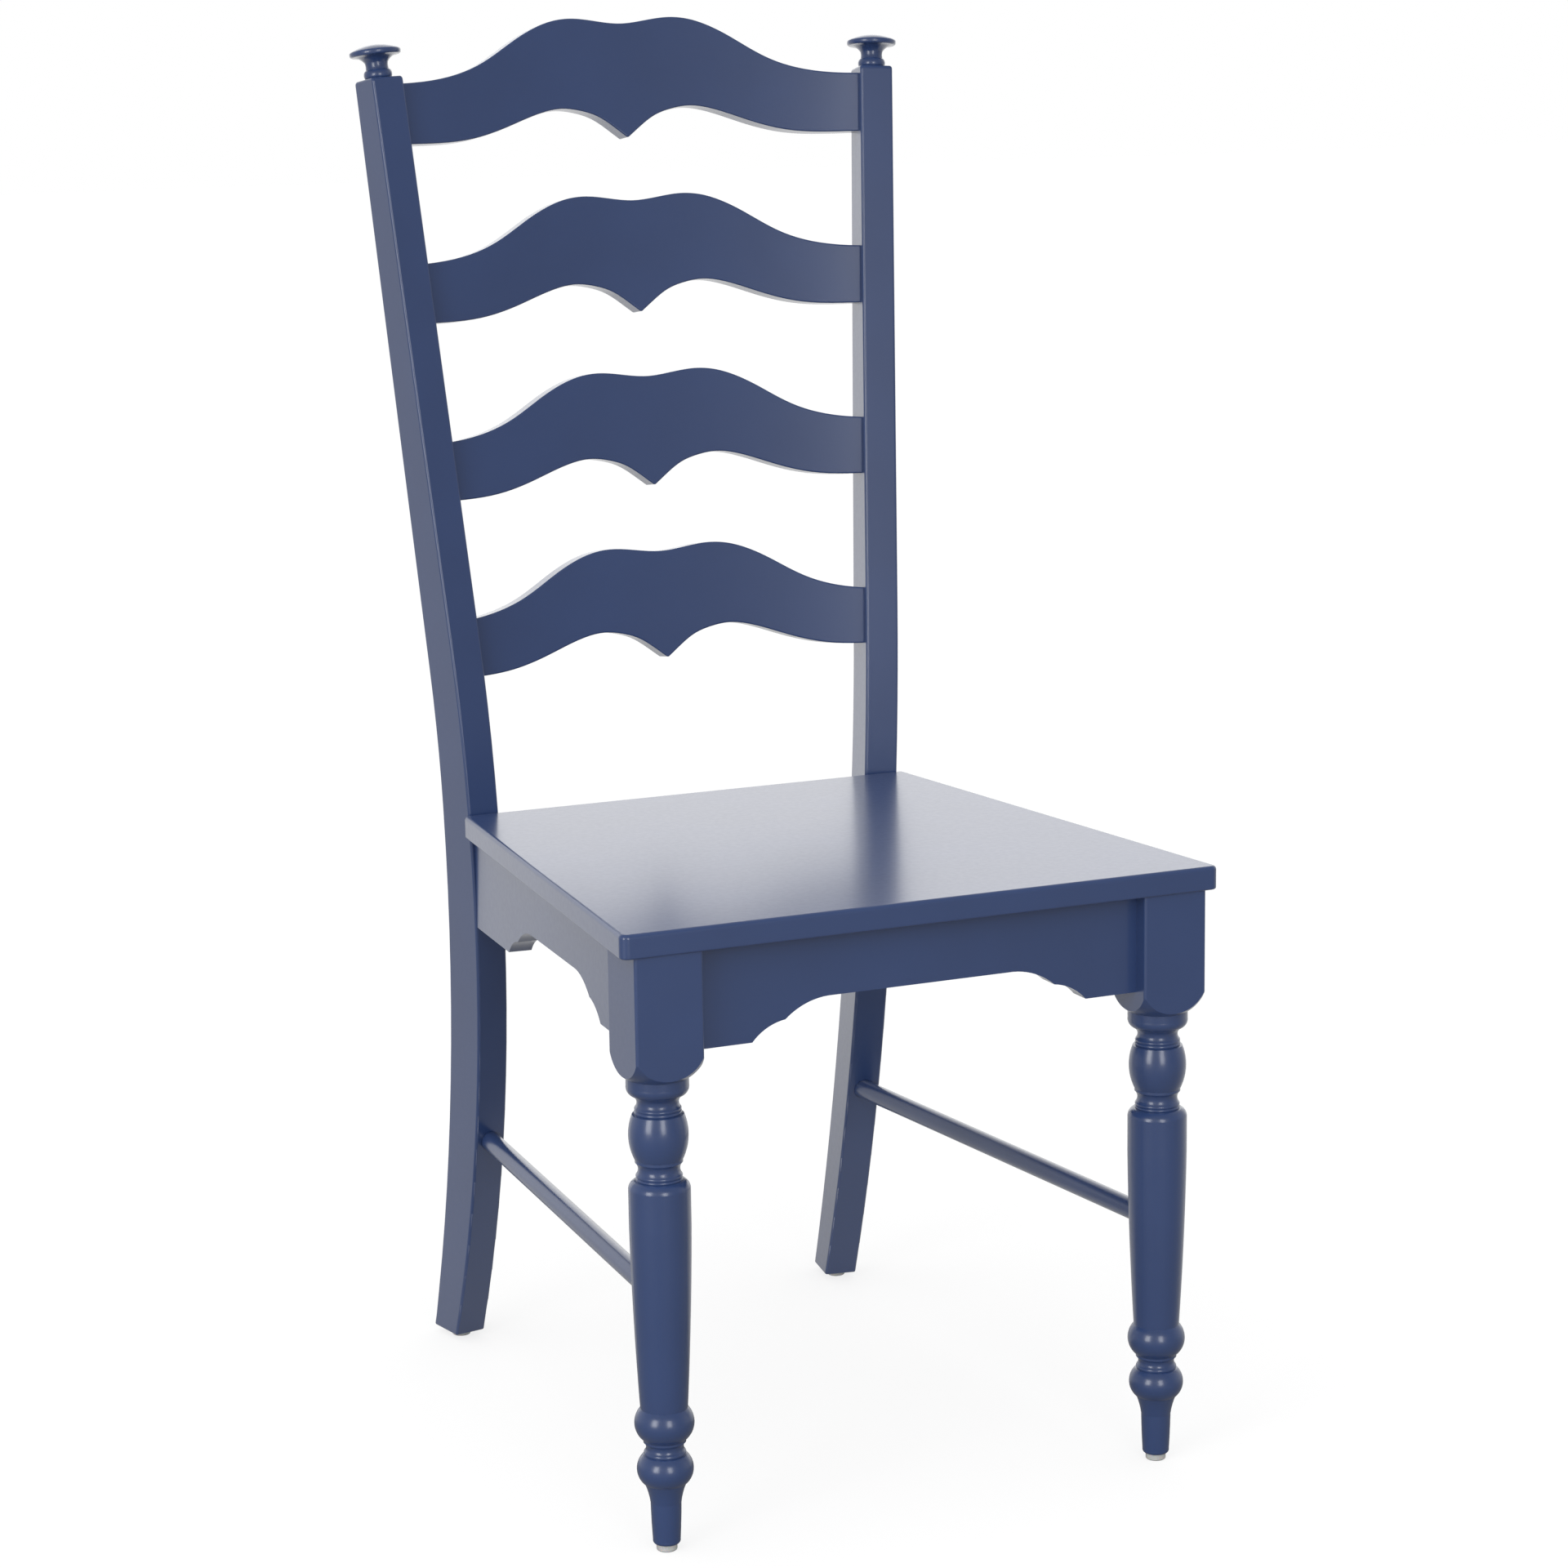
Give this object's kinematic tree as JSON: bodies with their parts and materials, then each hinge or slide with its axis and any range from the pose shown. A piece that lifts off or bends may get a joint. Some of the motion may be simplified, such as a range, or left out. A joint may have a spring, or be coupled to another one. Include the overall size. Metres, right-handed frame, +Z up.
{
  "type": "ladderback chair",
  "caption": "Painted ladderback side chair with a flat board seat, scalloped bowed slats, turned front legs, raked back posts with mushroom finials and round side stretchers.",
  "frame": {"origin": "on the floor, below the middle of the chair's bounding box", "axes": "+Z up, -Y towards the front of the seat, +X to the right as seen from the front"},
  "size_m": [0.4682, 0.5589, 1.0649],
  "materials": {
    "navy_paint": "satin navy paint on wood",
    "seat_paint": "semi-gloss navy paint on wood",
    "dowel_wood": "bare wood",
    "screw_steel": "zinc-plated steel",
    "glide_nylon": "pale grey nylon"
  },
  "bodies": {
    "root": {"back_apron": "navy_paint", "back_apron_dowel_1_left": "dowel_wood", "back_apron_dowel_1_right": "dowel_wood", "back_apron_dowel_2_left": "dowel_wood", "back_apron_dowel_2_right": "dowel_wood", "back_post_left": "navy_paint", "back_post_right": "navy_paint", "finial_left": "navy_paint", "finial_right": "navy_paint", "front_apron": "navy_paint", "front_apron_dowel_1_left": "dowel_wood", "front_apron_dowel_1_right": "dowel_wood", "front_apron_dowel_2_left": "dowel_wood", "front_apron_dowel_2_right": "dowel_wood", "front_corner_block_left": "navy_paint", "front_corner_block_right": "navy_paint", "front_corner_cross_screw_left": "screw_steel", "front_corner_cross_screw_right": "screw_steel", "front_corner_seat_screw_left": "screw_steel", "front_corner_seat_screw_right": "screw_steel", "front_corner_side_screw_left": "screw_steel", "front_corner_side_screw_right": "screw_steel", "front_glide_left": "glide_nylon", "front_glide_right": "glide_nylon", "front_leg_left": "navy_paint", "front_leg_right": "navy_paint", "ladder_slat_1": "navy_paint", "ladder_slat_2": "navy_paint", "ladder_slat_3": "navy_paint", "ladder_slat_4": "navy_paint", "rear_corner_block_left": "navy_paint", "rear_corner_block_right": "navy_paint", "rear_corner_cross_screw_left": "screw_steel", "rear_corner_cross_screw_right": "screw_steel", "rear_corner_seat_screw_left": "screw_steel", "rear_corner_seat_screw_right": "screw_steel", "rear_corner_side_screw_left": "screw_steel", "rear_corner_side_screw_right": "screw_steel", "rear_glide_left": "glide_nylon", "rear_glide_right": "glide_nylon", "seat_board": "seat_paint", "side_apron_front_dowel_1_left": "dowel_wood", "side_apron_front_dowel_1_right": "dowel_wood", "side_apron_front_dowel_2_left": "dowel_wood", "side_apron_front_dowel_2_right": "dowel_wood", "side_apron_left": "navy_paint", "side_apron_rear_dowel_1_left": "dowel_wood", "side_apron_rear_dowel_1_right": "dowel_wood", "side_apron_rear_dowel_2_left": "dowel_wood", "side_apron_rear_dowel_2_right": "dowel_wood", "side_apron_right": "navy_paint", "side_stretcher_left": "navy_paint", "side_stretcher_right": "navy_paint"}
  },
  "joints": []
}
